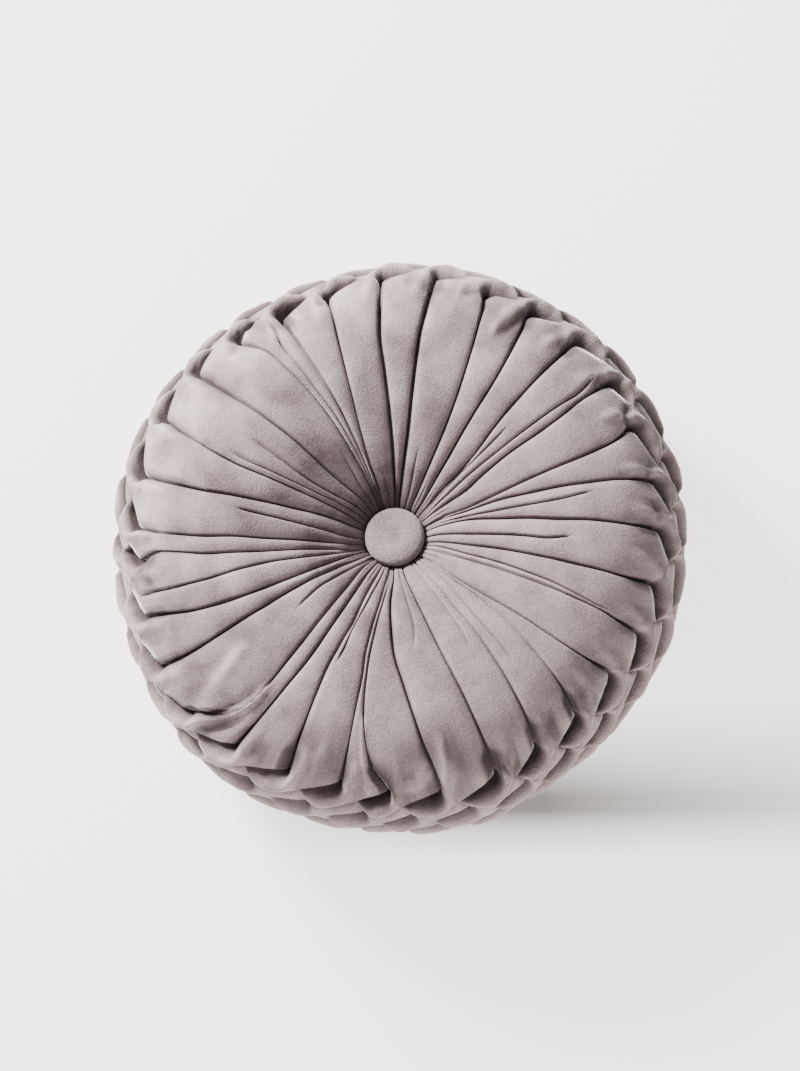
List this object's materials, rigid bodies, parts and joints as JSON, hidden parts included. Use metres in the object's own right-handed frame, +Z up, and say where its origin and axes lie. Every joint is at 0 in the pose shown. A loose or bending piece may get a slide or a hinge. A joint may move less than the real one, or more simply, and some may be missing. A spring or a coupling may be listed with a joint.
{
  "type": "round pleated cushion",
  "caption": "Round filled cushion with pleats gathered to a covered button on each face and a braided smocked side.",
  "frame": {"origin": "centre of the base of the box around the cushion, on the ground", "axes": "+Z up, out of the pleated face; the cushion lies on its back, and +Y is the top of the face in the picture"},
  "size_m": [0.3988, 0.3984, 0.1298],
  "materials": {
    "cover_velvet": "matt short-pile velvet in a warm grey mauve",
    "button_velvet": "the same velvet stretched over a button mould"
  },
  "bodies": {
    "root": {"cover": "cover_velvet", "button_front": "button_velvet", "button_back": "button_velvet"}
  },
  "joints": []
}
